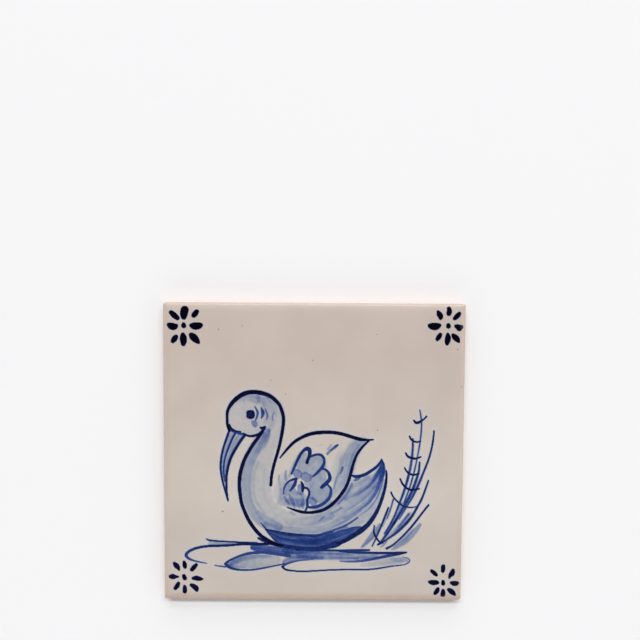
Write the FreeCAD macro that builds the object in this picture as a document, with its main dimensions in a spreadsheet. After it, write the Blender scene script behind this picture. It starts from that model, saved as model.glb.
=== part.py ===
"""Azulejo tile: one pressed, fired and glazed wall tile.

It lies on its back, glazed face up. The origin is the middle of the back, +X points to the right of
the picture on the face, +Y to its top and +Z out of the face. Lengths are in millimetres.
"""

import FreeCAD
import Part
import Sketcher

import math
import os

# Driving dimensions, in millimetres apart from the count and the angle in degrees.
SIZES = {
    # The slab.
    "tile_side": 140.0,
    "tile_thickness": 8.0,
    "corner_radius": 0.7,
    # The rolled edge of the face: a wide arc that ends in a tight nose.
    "cushion_width": 4.0,
    "cushion_radius": 9.0,
    "nose_radius": 0.8,
    # The slanted edge of the back.
    "back_bevel": 0.8,
    # The keys: rows of shallow drafted cells in the back, which the mortar fills.
    "key_border": 8.5,
    "key_rib": 2.0,
    "key_count": 10,
    "key_depth": 0.8,
    "key_draft": 25.0,
}
# What the sketches and features derive from those dimensions.
HALF_SIDE = "Sizes.tile_side / 2"
KEY_PITCH = "(Sizes.tile_side - 2 * Sizes.key_border + Sizes.key_rib) / Sizes.key_count"

# How a sketch numbers the points of a line or arc, its own origin and its horizontal axis.
START, END, CENTRE = 1, 2, 3
ORIGIN = (-1, 1)
HORIZONTAL_AXIS = -1


def make_sheet(doc):
    """The spreadsheet that holds every driving dimension under its own alias."""
    sheet = doc.addObject("Spreadsheet::Sheet", "Sizes")
    for row, (alias, value) in enumerate(SIZES.items(), start=1):
        sheet.set(f"A{row}", alias)
        sheet.set(f"B{row}", str(value))
        sheet.setAlias(f"B{row}", alias)
    doc.recompute()


def origin_feature(body, role):
    """One of the body's own planes or axes, such as XY_Plane or Z_Axis."""
    return next(feature for feature in body.Origin.OriginFeatures if feature.Role == role)


def new_sketch(body, name, plane):
    sketch = body.newObject("Sketcher::SketchObject", name)
    sketch.AttachmentSupport = [(origin_feature(body, plane), "")]
    sketch.MapMode = "FlatFace"
    return sketch


def constrain(sketch, kind, *terms):
    return sketch.addConstraint(Sketcher.Constraint(kind, *terms))


def bind(sketch, name, expression, kind, *terms):
    """Adds a dimension to a sketch and ties it to the spreadsheet."""
    index = constrain(sketch, kind, *terms)
    sketch.renameConstraint(index, name)
    sketch.setExpression(f"Constraints.{name}", expression)


def add_path(sketch, corners):
    """Joins the corners with straight lines and returns the lines' numbers."""
    points = [FreeCAD.Vector(x, y, 0) for x, y in corners]
    lines = [sketch.addGeometry(Part.LineSegment(*ends)) for ends in zip(points, points[1:])]
    for before, after in zip(lines, lines[1:]):
        constrain(sketch, "Coincident", before, END, after, START)
    return lines


def add_loop(sketch, corners):
    """As add_path, but closed back to its first corner."""
    lines = add_path(sketch, corners + corners[:1])
    constrain(sketch, "Coincident", lines[-1], END, lines[0], START)
    return lines


def square_up(sketch, lines):
    """Makes the lines horizontal and vertical by turns, starting with a horizontal one."""
    for step, line in enumerate(lines):
        constrain(sketch, "Vertical" if step % 2 else "Horizontal", line)


def pad_slab(body):
    """The square slab, with its upright corners eased."""
    half = SIZES["tile_side"] / 2
    sketch = new_sketch(body, "outline", "XY_Plane")
    lines = add_loop(sketch, [(-half, -half), (half, -half), (half, half), (-half, half)])
    square_up(sketch, lines)
    far_corner = (lines[1], END)
    constrain(sketch, "Symmetric", lines[0], START, *far_corner, *ORIGIN)
    bind(sketch, "half_width", HALF_SIDE, "DistanceX", *ORIGIN, *far_corner, half)
    bind(sketch, "half_height", HALF_SIDE, "DistanceY", *ORIGIN, *far_corner, half)

    pad = body.newObject("PartDesign::Pad", "slab")
    pad.Profile = sketch
    pad.setExpression("Length", "Sizes.tile_thickness")
    body.Document.recompute()

    upright_edges = [
        f"Edge{number}"
        for number, edge in enumerate(pad.Shape.Edges, start=1)
        if edge.BoundBox.ZLength > pad.Length.Value / 2
    ]
    fillet = body.newObject("PartDesign::Fillet", "eased_corners")
    fillet.Base = (pad, upright_edges)
    fillet.setExpression("Radius", "Sizes.corner_radius")
    body.Document.recompute()


def draw_cushion_waste(sketch):
    """What comes off above the rolled edge of the face, bounded below by its two arcs."""
    half = SIZES["tile_side"] / 2
    top = SIZES["tile_thickness"]
    width = SIZES["cushion_width"]
    wide = SIZES["cushion_radius"]
    tight = SIZES["nose_radius"]
    start = half - width
    outside = half + width
    above = top + width

    normal = FreeCAD.Vector(0, 0, 1)
    wide_centre = FreeCAD.Vector(start, top - wide, 0)
    meeting_angle = math.acos((width - tight) / (wide - tight))
    reach = wide - tight
    to_nose = FreeCAD.Vector(reach * math.cos(meeting_angle), reach * math.sin(meeting_angle), 0)
    nose_centre = wide_centre + to_nose
    wide_circle = Part.Circle(wide_centre, normal, wide)
    nose_circle = Part.Circle(nose_centre, normal, tight)
    cushion = sketch.addGeometry(Part.ArcOfCircle(wide_circle, meeting_angle, math.pi / 2))
    nose = sketch.addGeometry(Part.ArcOfCircle(nose_circle, 0, meeting_angle))
    level = nose_centre.y
    outer = add_path(
        sketch, [(half, level), (outside, level), (outside, above), (start, above), (start, top)]
    )
    square_up(sketch, outer)

    on_face = (cushion, END)
    on_side = (nose, START)
    outer_corner = (outer[1], END)
    constrain(sketch, "Coincident", *on_side, outer[0], START)
    constrain(sketch, "Coincident", *on_face, outer[-1], END)
    constrain(sketch, "Tangent", cushion, START, nose, END)
    constrain(sketch, "Vertical", cushion, CENTRE, *on_face)
    constrain(sketch, "Horizontal", nose, CENTRE, *on_side)
    bind(sketch, "cushion_radius", "Sizes.cushion_radius", "Radius", cushion, wide)
    bind(sketch, "nose_radius", "Sizes.nose_radius", "Radius", nose, tight)
    inset = f"{HALF_SIDE} - Sizes.cushion_width"
    bind(sketch, "cushion_start", inset, "DistanceX", *ORIGIN, *on_face, start)
    bind(sketch, "face_level", "Sizes.tile_thickness", "DistanceY", *ORIGIN, *on_face, top)
    bind(sketch, "side_plane", HALF_SIDE, "DistanceX", *ORIGIN, *on_side, half)
    beyond = f"{HALF_SIDE} + Sizes.cushion_width"
    bind(sketch, "waste_side", beyond, "DistanceX", *ORIGIN, *outer_corner, outside)
    over = "Sizes.tile_thickness + Sizes.cushion_width"
    bind(sketch, "waste_top", over, "DistanceY", *ORIGIN, *outer_corner, above)


def draw_bevel_waste(sketch):
    """What comes off below the slanted edge of the back."""
    half = SIZES["tile_side"] / 2
    bevel = SIZES["back_bevel"]
    inside = half - bevel
    outside = half + bevel
    slant, *outer = add_loop(
        sketch,
        [(inside, 0), (half, bevel), (outside, bevel), (outside, -bevel), (inside, -bevel)],
    )
    square_up(sketch, outer)
    on_back = (slant, START)
    on_side = (slant, END)
    outer_corner = (outer[1], END)
    constrain(sketch, "PointOnObject", *on_back, HORIZONTAL_AXIS)
    inset = f"{HALF_SIDE} - Sizes.back_bevel"
    bind(sketch, "bevel_start", inset, "DistanceX", *ORIGIN, *on_back, inside)
    bind(sketch, "bevel_plane", HALF_SIDE, "DistanceX", *ORIGIN, *on_side, half)
    bind(sketch, "bevel_height", "Sizes.back_bevel", "DistanceY", *ORIGIN, *on_side, bevel)
    beyond = f"{HALF_SIDE} + Sizes.back_bevel"
    bind(sketch, "bevel_side", beyond, "DistanceX", *ORIGIN, *outer_corner, outside)
    bind(sketch, "bevel_depth", "Sizes.back_bevel", "DistanceY", *outer_corner, *ORIGIN, bevel)


def shape_edges(body):
    """Runs one section along a whole side, then turns that cut to all four sides."""
    sketch = new_sketch(body, "edge_section", "XZ_Plane")
    draw_cushion_waste(sketch)
    draw_bevel_waste(sketch)
    cut = body.newObject("PartDesign::Pocket", "edge_cut")
    cut.Profile = sketch
    cut.Type = "ThroughAll"
    cut.SideType = "Symmetric"
    body.Document.recompute()

    four_sides = body.newObject("PartDesign::PolarPattern", "edge_cuts")
    four_sides.Originals = [cut]
    four_sides.Axis = (origin_feature(body, "Z_Axis"), [""])
    four_sides.Angle = 360
    four_sides.Occurrences = 4
    body.Tip = four_sides
    body.Document.recompute()


def press_keys(body):
    """The grid of cells in the back: one drafted cell at a corner, repeated along both sides."""
    border = SIZES["key_border"]
    rib = SIZES["key_rib"]
    pitch = (SIZES["tile_side"] - 2 * border + rib) / SIZES["key_count"]
    near = border - SIZES["tile_side"] / 2
    far = near + pitch - rib
    sketch = new_sketch(body, "key_cell", "XY_Plane")
    lines = add_loop(sketch, [(near, near), (far, near), (far, far), (near, far)])
    square_up(sketch, lines)
    constrain(sketch, "Equal", lines[0], lines[1])
    first_corner = (lines[0], START)
    inset = f"{HALF_SIDE} - Sizes.key_border"
    bind(sketch, "border_x", inset, "DistanceX", *first_corner, *ORIGIN, -near)
    bind(sketch, "border_y", inset, "DistanceY", *first_corner, *ORIGIN, -near)
    cell_side = f"{KEY_PITCH} - Sizes.key_rib"
    bind(sketch, "cell_side", cell_side, "DistanceX", *first_corner, lines[0], END, far - near)

    cell = body.newObject("PartDesign::Pocket", "key")
    cell.Profile = sketch
    cell.Reversed = True
    cell.setExpression("Length", "Sizes.key_depth")
    cell.setExpression("TaperAngle", "-Sizes.key_draft")
    body.Document.recompute()

    grid = body.newObject("PartDesign::LinearPattern", "keys")
    grid.Originals = [cell]
    grid.Direction = (origin_feature(body, "X_Axis"), [""])
    grid.Direction2 = (origin_feature(body, "Y_Axis"), [""])
    for way in ("", "2"):
        grid.setExpression(f"Length{way}", f"{KEY_PITCH} * (Sizes.key_count - 1)")
        grid.setExpression(f"Occurrences{way}", "Sizes.key_count")
    body.Tip = grid
    body.Document.recompute()


def check(doc, body):
    """Stops the build if a feature failed or the tile isn't one valid solid."""
    for item in doc.Objects:
        if {"Invalid", "Error"} & set(item.State):
            raise RuntimeError(f"{item.Label} failed: {item.State}")
    shape = body.Shape
    if shape.isNull() or not shape.isValid() or len(shape.Solids) != 1:
        raise RuntimeError(f"{body.Label} isn't one valid solid")


def main():
    doc = FreeCAD.newDocument("azulejo_tile")
    make_sheet(doc)
    tile = doc.addObject("PartDesign::Body", "tile")
    tile.Label = "tile"
    pad_slab(tile)
    shape_edges(tile)
    press_keys(tile)
    doc.recompute()
    check(doc, tile)
    os.makedirs("parts", exist_ok=True)
    tile.Shape.exportStep(f"parts/{tile.Label}.step")
    box = tile.Shape.BoundBox
    print(f"{tile.Label}: {box.XLength:.2f} x {box.YLength:.2f} x {box.ZLength:.2f} mm")
    print(f"volume {tile.Shape.Volume / 1000:.2f} cm3, {len(tile.Shape.Faces)} faces")


main()
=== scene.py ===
"""The azulejo tile with its glaze and its painted picture, lying on a pale floor."""

import math
from collections import namedtuple

import bpy
import numpy as np
from mathutils import Matrix, Vector
from mathutils.geometry import delaunay_2d_cdt


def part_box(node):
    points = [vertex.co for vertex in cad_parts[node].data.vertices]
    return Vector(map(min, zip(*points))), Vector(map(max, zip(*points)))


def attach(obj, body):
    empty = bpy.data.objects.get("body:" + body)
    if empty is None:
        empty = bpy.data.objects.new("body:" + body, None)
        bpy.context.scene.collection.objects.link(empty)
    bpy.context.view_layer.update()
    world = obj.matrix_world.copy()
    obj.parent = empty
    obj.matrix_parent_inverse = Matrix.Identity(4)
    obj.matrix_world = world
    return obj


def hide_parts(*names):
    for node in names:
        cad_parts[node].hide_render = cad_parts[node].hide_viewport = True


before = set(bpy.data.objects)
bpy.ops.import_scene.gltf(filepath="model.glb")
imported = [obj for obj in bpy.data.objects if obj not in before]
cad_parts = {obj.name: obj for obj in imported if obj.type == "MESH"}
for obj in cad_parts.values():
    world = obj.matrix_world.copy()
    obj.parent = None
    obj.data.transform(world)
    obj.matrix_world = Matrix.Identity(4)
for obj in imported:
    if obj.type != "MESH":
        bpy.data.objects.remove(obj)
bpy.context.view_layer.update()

MM = 0.001

# The tile, in millimetres. Side and thickness come from the tile part's box, the rest repeats the solid's.
TILE_LOW, TILE_HIGH = (np.array(corner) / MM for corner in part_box("tile"))
HALF_SIDE = (TILE_HIGH[0] - TILE_LOW[0]) / 2
FACE_LEVEL = TILE_HIGH[2]
CORNER_RADIUS = 0.7
CUSHION_WIDTH = 4.0
CUSHION_RADIUS = 9.0
NOSE_RADIUS = 0.8
BACK_BEVEL = 0.8
KEY_BORDER = 8.5
KEY_RIB = 2.0
KEY_COUNT = 10
KEY_DEPTH = 0.8
KEY_DRAFT = math.radians(25)

# Where the cushion's wide arc meets the nose, and where the nose meets the side.
NOSE_ANGLE = math.asin((CUSHION_WIDTH - NOSE_RADIUS) / (CUSHION_RADIUS - NOSE_RADIUS))
FACE_REACH = HALF_SIDE - CUSHION_WIDTH + CUSHION_RADIUS * math.sin(NOSE_ANGLE)
NOSE_LEVEL = (
    FACE_LEVEL - CUSHION_RADIUS + (CUSHION_RADIUS - NOSE_RADIUS) * math.cos(NOSE_ANGLE)
)
# How sharply the cushions of two sides turn into each other at a corner.
CORNER_BLEND = 6

# The photograph's frame, and where the tile's corners lie in it: pixels across and down.
PHOTO_SIDE = 640
PHOTO_CORNERS = [(162.3, 303.2), (466.6, 305.0), (460.9, 600.4), (164.3, 598.8)]
TILE_CORNERS = [
    (-HALF_SIDE, HALF_SIDE),
    (HALF_SIDE, HALF_SIDE),
    (HALF_SIDE, -HALF_SIDE),
    (-HALF_SIDE, -HALF_SIDE),
]
LENS_MM = 50
SENSOR_MM = 36
NEAREST_SEEN = 0.01

# How each kind of stroke lies on the glaze: how soft its edge is and how far it bled in the fire,
# in millimetres, how streaky its bristles leave it, how much paint gathers at its edge, how cloudy
# it dried, and whether strokes build up where they cross.
Brush = namedtuple("Brush", "soft bleed streak pool cloud builds")
BRUSHES = {
    "ground": Brush(1.2, 0.0, 0.15, 0.0, 0.28, False),
    "mist": Brush(3.0, 0.0, 0.3, 0.0, 0.2, True),
    "wash": Brush(0.9, 0.0, 0.35, 0.0, 0.15, True),
    "dry": Brush(0.35, 0.04, 0.35, 0.0, 0.12, False),
    "dab": Brush(0.4, 0.04, 0.15, 0.0, 0.1, True),
    "line": Brush(0.2, 0.05, 0.06, 0.1, 0.0, False),
    "quill": Brush(0.2, 0.0, 0.06, 0.1, 0.0, False),
    "petal": Brush(0.16, 0.06, 0.04, 0.1, 0.0, False),
}
# Full strokes dim the thin ones under them: to about a third where they lay this much paint.
FULL_BRUSHES = ("dry", "line", "quill", "petal")
DIMMING_PAINT = 2
# Blue strokes tint the glaze round them a little: how much, and how far in millimetres.
HALO_BRUSHES = ("dry", "line", "quill")
HALO_PAINT = 0.06
HALO_REACH = 3.5
# How far apart the clouds of dried paint lie, in millimetres.
CLOUD_SIZE = 1.7

# The strokes: brush, paint at the start and at the end of the stroke, and then the brush's path as
# pixels across and down the photograph and the stroke's width there, in pixels too. The petals of
# the corner flowers all have one brush, which is named after them.
PETALS = [
    # Top left: petals clockwise from the top one, then the dot.
    (6.2, 6.2, (183.6, 317, 5.5), (183.8, 313.5, 7.2), (184.6, 310, 7.6)),
    (6.2, 6.2, (193.6, 315.6, 4.6), (195.2, 313.6, 5.4), (196.6, 311.8, 4.4)),
    (6.1, 6.2, (191.2, 325.6, 3.8), (194.5, 326.2, 6.6), (198, 326, 6.8), (200.4, 325.3, 4.6)),
    (5.7, 6.2, (191.3, 335.2, 4.6), (193.6, 337.6, 6.8), (196, 340, 5.8), (198.4, 342.6, 2.8)),
    (6.1, 6.2, (182.8, 334.6, 3.6), (183.2, 338, 6.4), (183.4, 341, 6.4), (183.1, 344.2, 4.2)),
    (5.9, 6.2, (175.9, 336.9, 4), (174.3, 339, 5.2), (172.6, 341.4, 3.6)),
    (6.2, 6.2, (168.8, 325, 4.2), (171.6, 326.4, 6.6), (174, 326.8, 6.2), (176.4, 325.9, 3.2)),
    (5.9, 6.2, (171, 312.6, 4.4), (174, 315.4, 5.6), (177.3, 318.2, 4)),
    (6.2, 6.2, (183.4, 324, 2.6), (183.6, 325.8, 4.8)),
    # Top right.
    (6.2, 6.2, (449, 313.9, 4.4), (449.6, 311.4, 5), (449.2, 308.8, 3.8)),
    (6.2, 5.9, (454.9, 318.6, 3.4), (457.6, 316, 4.6), (459.6, 313.8, 3.4)),
    (6.2, 6.2, (456.2, 326.3, 3), (458.6, 327.2, 5.4), (459.6, 328.6, 5), (461.8, 327, 3.6)),
    (5.9, 6.2, (453.4, 335.4, 3.6), (455.6, 337.6, 5.6), (457.6, 339.6, 4.8), (459, 341.6, 2.6)),
    (6.2, 6.2, (448, 334.4, 2.8), (448.2, 338, 5.6), (447.6, 341, 5), (447.2, 343.8, 3)),
    (6.1, 6.2, (440.6, 334.6, 3.2), (439.2, 336.8, 4.4), (437.4, 339.4, 3.2)),
    (6.0, 6.2, (429.6, 325.8, 3.2), (432.4, 326.4, 6), (436, 326.6, 6.4), (439.4, 325.4, 3.6)),
    (5.9, 6.2, (438.2, 311.9, 2.8), (439.6, 314.4, 5), (440.8, 316.6, 4.6), (440.6, 318.4, 3)),
    (6.2, 6.2, (448.6, 325.2, 3.8), (448.7, 326.4, 4.4)),
    # Bottom left.
    (5.6, 5.6, (184, 561.8, 2.6), (184.5, 564.6, 4.2), (184.8, 566.8, 3.4)),
    (5.7, 5.7, (191.7, 569.6, 3.4), (193.8, 567.2, 3.9), (196.2, 564.6, 2.6)),
    (5.3, 5.7, (193, 578.2, 2.8), (196, 578, 4.6), (199, 578.6, 4.4), (202.3, 578.9, 1.8)),
    (5.1, 5.5, (191.2, 584.9, 3), (193.8, 586.4, 5), (196, 588.2, 4.8), (196.6, 590.4, 2.4)),
    (5.3, 5.5, (184.5, 586, 2.4), (184.6, 588.6, 4.2), (184.5, 591.4, 4)),
    (5.5, 5.7, (178.3, 583, 2.6), (177, 585.8, 4.4), (175, 588.2, 3.4)),
    (5.1, 5.7, (170.4, 576.6, 3.6), (172.8, 576.5, 4.8), (175.2, 576.6, 3), (178, 576.6, 1.4)),
    (5.1, 5.7, (174.2, 563.2, 2.8), (176.2, 565.6, 5), (177.6, 567.2, 4), (178.8, 569.6, 2)),
    (5.8, 5.8, (183.7, 575.8, 3.4), (184.6, 578, 4.2)),
    # Bottom right.
    (5.1, 5.6, (443.4, 566.2, 4), (443.2, 568.6, 4.2), (442.9, 570.9, 3.4)),
    (5.6, 5.4, (453.3, 570, 2.8), (452.3, 573, 4.8), (450.6, 575, 3.6), (449.3, 577.9, 1.4)),
    (5.2, 5.7, (451.4, 582.6, 2.8), (453.8, 583.2, 4.8), (456.2, 583.4, 4.6), (457.6, 583.2, 3)),
    (5.3, 5.7, (448.8, 589.4, 3.2), (451.2, 591, 5.2), (453.4, 593, 4.2), (455, 594.7, 2)),
    (5.4, 5.7, (443.2, 590.2, 2.8), (443.2, 592.8, 4.4), (442.9, 595, 4)),
    (5.6, 5.8, (438.2, 588.2, 2.4), (437, 590.8, 4.4), (435.2, 593.2, 3.2)),
    (5.3, 5.8, (429.6, 581.8, 3), (432.4, 582.3, 4.8), (435.6, 582.3, 4.6), (438, 582.4, 2.6)),
    (5.6, 5.8, (431.8, 570.8, 3), (434.2, 572.8, 4.2), (436.4, 574.8, 2.8)),
    (5.8, 5.8, (443.2, 581.2, 2.8), (443.3, 583.4, 4)),
]
CORNER_FLOWERS = [("petal", *petal) for petal in PETALS]
BIRD_WASHES = [
    # The thin ground inside the head, neck and body.
    ("ground", 0.17, 0.22, (239, 412, 23), (249, 411, 39), (262, 411, 39), (270, 417, 30), (270, 430, 26),
     (263.4, 446, 24)),
    ("ground", 0.14, 0.18, (236, 421, 17), (247, 425, 20), (258, 424, 18)),
    ("ground", 0.2, 0.2, (263, 446, 24), (256, 466, 31), (255, 490, 32), (263, 511, 30), (282, 522, 24)),
    ("ground", 0.22, 0.38, (282, 521, 22), (310, 524, 20), (336, 517, 24), (356, 503, 34), (374, 484, 20)),
    ("ground", 0.2, 0.05, (279, 494, 13), (284, 478, 12), (290, 466, 12)),
    ("ground", 0.5, 0.62, (303, 457, 10), (303, 468, 12), (317, 463, 15), (318, 479, 17), (320, 493, 21)),
    ("ground", 0.6, 0.55, (289.6, 487, 9), (291, 496, 14), (299.4, 499.6, 15)),
    # Head.
    ("wash", 0.42, 0.22, (258, 397, 5), (262, 402, 6.6), (265, 408, 6), (266.5, 415, 5), (266, 422, 4)),
    ("wash", 0.32, 0.18, (266, 397.4, 7), (270.5, 402, 9.6), (273, 410, 9), (272.6, 420, 8),
     (271, 428, 6)),
    ("wash", 0.25, 0.4, (236, 401, 3), (242, 398, 5), (251, 398, 7), (257, 401, 6)),
    ("dab", 0.5, 0.6, (256.6, 395.8, 1), (258.6, 397.4, 1.6), (259.6, 398.6, 1.2)),
    ("dab", 0.45, 0.4, (261.4, 400, 1), (263.4, 403, 1.4), (264.4, 406.4, 1)),
    ("dab", 0.4, 0.4, (265.6, 397.4, 1), (268.6, 400, 1.3), (270.4, 403, 1)),
    ("dab", 0.3, 0.3, (244, 398.6, 1), (243.4, 401, 1.2), (244.6, 403, 1)),
    ("dab", 2.4, 2.2, (254.7, 406.6, 0.8), (256.8, 410.3, 1.8), (257.6, 413.2, 2.2), (256.8, 417, 1.6),
     (255.2, 421, 1)),
    ("dab", 2.8, 2.4, (261.1, 407.8, 0.9), (262.7, 412.2, 3.2), (262.5, 415.2, 2.8), (261.4, 418, 1.2)),
    ("dab", 1.6, 1.4, (265.2, 409, 0.7), (266.9, 413.2, 1.5), (267.4, 416, 1.7), (266.5, 419.6, 0.9)),
    ("dab", 0.8, 1.0, (274.1, 412.5, 1), (272.5, 416.4, 1.4), (272.7, 420.2, 1)),
    ("dab", 1.05, 1.1, (252.6, 421.8, 2.8), (254.2, 423.6, 5), (255.2, 425.6, 3.8)),
    ("dab", 0.35, 0.3, (256.6, 422, 2), (257.4, 424.6, 2)),
    # Neck and breast.
    ("wash", 0.95, 0.2, (268.2, 430.6, 5), (266, 437, 8), (262.4, 444.4, 8), (258, 452, 5)),
    ("dab", 0.6, 0.2, (268.8, 431, 3), (267.6, 436, 3.6), (264.6, 443, 3)),
    ("wash", 0.52, 0.34, (263.5, 435, 7), (257.4, 446.5, 9), (251.2, 458, 10), (247.4, 470, 10),
     (246, 483, 10), (246.8, 495, 10), (250.6, 507, 9), (257, 518, 8), (264.6, 526.5, 6)),
    ("wash", 0.35, 0.5, (258, 512.6, 5), (264.6, 518.6, 8), (271.6, 523.4, 8.6), (279, 527, 8)),
    ("mist", 0.05, 0.08, (270, 512, 8), (278, 519, 9), (290, 523, 8)),
    ("dry", 0.3, 0.25, (258, 462, 3), (254, 474, 3), (253.4, 488, 3), (256, 501, 3), (264, 513, 3)),
    ("dry", 0.2, 0.08, (264.5, 470, 2), (263.5, 484, 2), (266, 498, 1.8), (272, 507, 1.6)),
    # Under the wing and along the back of the body.
    ("wash", 0.4, 0.3, (266, 525, 7), (282, 529, 7), (300, 530.5, 8), (320, 529.5, 8), (338, 523.5, 7)),
    ("wash", 0.14, 0.34, (288, 521.5, 7), (302, 522, 9), (316, 520, 10), (330, 515.5, 9)),
    ("wash", 0.5, 0.05, (380, 472, 5), (372, 486, 8), (359.5, 498.5, 8), (344, 509, 8), (330, 516.5, 6),
     (314, 522, 5)),
    ("wash", 0.3, 0.2, (355, 481, 6), (348.5, 491.5, 7), (340, 501.5, 7), (329, 510, 5)),
    ("ground", 0.42, 0.32, (382.4, 482, 7), (378.4, 495, 11), (370.4, 508, 15), (357, 519, 15),
     (342, 526, 9)),
    ("wash", 0.5, 0.5, (378.4, 471, 5), (369, 484.4, 5), (357.6, 492.6, 5), (346, 499, 4)),
    ("wash", 0.6, 0.3, (378, 484, 4.6), (371.6, 496, 5), (362.6, 505.4, 4.6), (349, 514, 4),
     (334, 521, 3.4)),
    ("dab", 1.3, 1.9, (354.6, 480.6, 1.4), (357.2, 478.8, 3.4), (360, 477.4, 1.8)),
    ("mist", 0.5, 0.2, (368, 477.4, 5), (361, 482.4, 6), (356, 485.6, 4)),
    ("dab", 0.35, 0.2, (290.6, 512.2, 2.6), (294.5, 514, 2.4)),
    ("dab", 0.8, 0.6, (324, 516.6, 1.4), (321, 519, 2), (319.4, 521.4, 1.4)),
    ("dab", 0.8, 0.5, (341, 508, 1.8), (337.5, 510.4, 2), (332, 513, 1.4)),
    # Wing.
    ("mist", 0.7, 0.45, (364, 440.6, 4), (356, 446, 11), (349.4, 457, 14), (346.4, 468, 14),
     (342.6, 480, 13), (336.6, 489.6, 8), (329, 498, 4)),
    ("mist", 0.12, 0.2, (341, 448, 5), (338, 458, 8), (336, 468, 9), (335, 480, 7)),
    ("dry", 0.6, 0.3, (359, 445.6, 2.6), (353.4, 453.5, 3), (350, 463, 3), (347.4, 474, 2.4),
     (343, 485, 2)),
    ("dab", 3.0, 1.7, (337.8, 445, 1.6), (335, 447, 2.6), (331.6, 449.8, 1.8)),
    ("dab", 1.4, 1.5, (331.4, 450, 1.6), (327.4, 453.8, 2.4)),
    ("wash", 0.7, 0.6, (331, 445, 2), (328.4, 449.4, 3.4)),
    ("wash", 0.2, 0.15, (322, 444.8, 2), (318.4, 445.6, 2)),
    ("dab", 1.7, 1.2, (342.6, 467.4, 1.7), (341.8, 470.4, 2.4), (340.4, 473.6, 1.3)),
    ("dab", 0.6, 0.8, (338.6, 473.6, 1.2), (336.4, 478.4, 1.6), (334.8, 484, 1.6), (334, 489, 1.2)),
    ("dry", 0.35, 0.2, (340.5, 458, 1.2), (339.6, 466, 1.3), (338, 473, 1)),
    ("wash", 0.2, 0.6, (299.6, 452, 1.4), (295.6, 459.6, 2), (292.2, 468.5, 2.6), (289.4, 476, 2.4)),
    ("dab", 1.0, 1.0, (296.4, 472.8, 7.6), (298, 474.4, 8.2)),
    ("dab", 1.0, 1.0, (305, 476.4, 8.6), (307.6, 477.6, 9.4)),
    ("dab", 1.0, 0.9, (311.4, 500.4, 7.6), (313.6, 502, 7.6)),
    ("mist", 0.6, 0.6, (314, 509, 3), (324, 507.4, 5), (331, 502.6, 4)),
    ("mist", 0.7, 0.6, (280, 502, 5), (287.2, 502.4, 7), (294, 502.6, 8.6), (301.6, 503.4, 8)),
    ("dab", 0.75, 0.65, (284.6, 497, 1.6), (286.6, 501, 3), (289.2, 503.8, 2)),
    ("dab", 0.85, 0.7, (289.2, 494.4, 1.4), (291.2, 498.6, 3.6), (293.4, 504, 2.6), (294.6, 507.4, 1.4)),
    ("dab", 0.35, 0.5, (297.2, 501, 1.6), (298.2, 504.6, 2.4), (300, 508, 1.8)),
    ("dab", 0.4, 0.75, (300.6, 494, 1.4), (302.8, 498.4, 2.4), (302.4, 504, 3.2), (303, 508, 2)),
    ("dab", 0.4, 0.4, (294.8, 489.6, 2), (297, 494, 2.6)),
    ("dab", 0.7, 0.5, (286, 471, 1.6), (285.4, 475.4, 2.6), (286.4, 480, 2)),
    ("wash", 0.35, 0.3, (293.4, 482, 4), (291.4, 486, 5), (291, 491, 4)),
    ("dab", 1.0, 0.65, (300, 486.4, 4.8), (300.8, 492, 6)),
    ("dab", 0.5, 0.45, (306.2, 483, 4), (309.6, 486.6, 4.4)),
    ("dab", 0.5, 0.3, (279, 475.6, 1.6), (279, 480, 2.2), (280.4, 490, 1.6)),
    ("mist", 0.2, 0.35, (286, 477, 5), (283, 485, 5), (282, 497, 6)),
    ("wash", 0.2, 0.2, (288.6, 484, 2.6), (286.2, 489, 3), (286, 495, 2.6)),
    # Beak.
    ("wash", 0.75, 1.1, (232, 434.5, 5), (227.5, 445, 4.4), (223.8, 457, 3.4), (222.4, 468, 2.6),
     (223.2, 479, 2), (225, 488, 1)),
    ("wash", 0.7, 1.15, (240.5, 436.5, 8), (234.5, 445, 6.5), (229.3, 456, 4.8), (226, 467, 3.4),
     (225, 478, 2.4)),
]
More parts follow.
